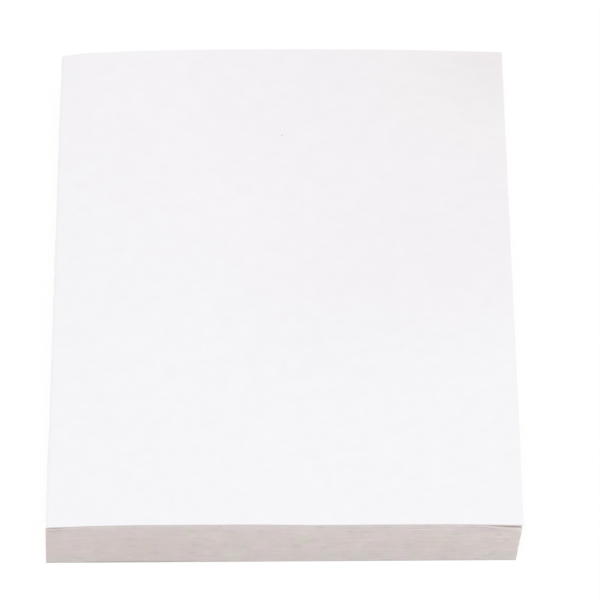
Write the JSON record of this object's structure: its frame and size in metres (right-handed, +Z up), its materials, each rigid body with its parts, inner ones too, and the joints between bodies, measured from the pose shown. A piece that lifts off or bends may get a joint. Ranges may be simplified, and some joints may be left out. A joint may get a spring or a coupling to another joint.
{
  "type": "sticky note pad",
  "caption": "Flat block of plain white self-stick notes on a thin backing sheet, glued along one short edge, with the upper notes standing apart at the front corners.",
  "frame": {"origin": "centre of the pad's underside, where it rests", "axes": "+X to the right, +Y to the glued edge, +Z up through the sheets"},
  "size_m": [0.0768, 0.1016, 0.0108],
  "materials": {
    "note_paper": "matt uncoated white paper",
    "page_edges": "cut edges of many white sheets",
    "backing": "smooth release-coated white sheet",
    "adhesive": "thin matt coat of low-tack adhesive"
  },
  "bodies": {
    "root": {"backing_sheet": "backing", "last_note_adhesive": "adhesive", "note_block": "page_edges", "third_note_adhesive": "adhesive", "third_note": "note_paper", "second_note_adhesive": "adhesive", "second_note": "note_paper", "top_note_adhesive": "adhesive", "top_note": "note_paper"}
  },
  "joints": []
}
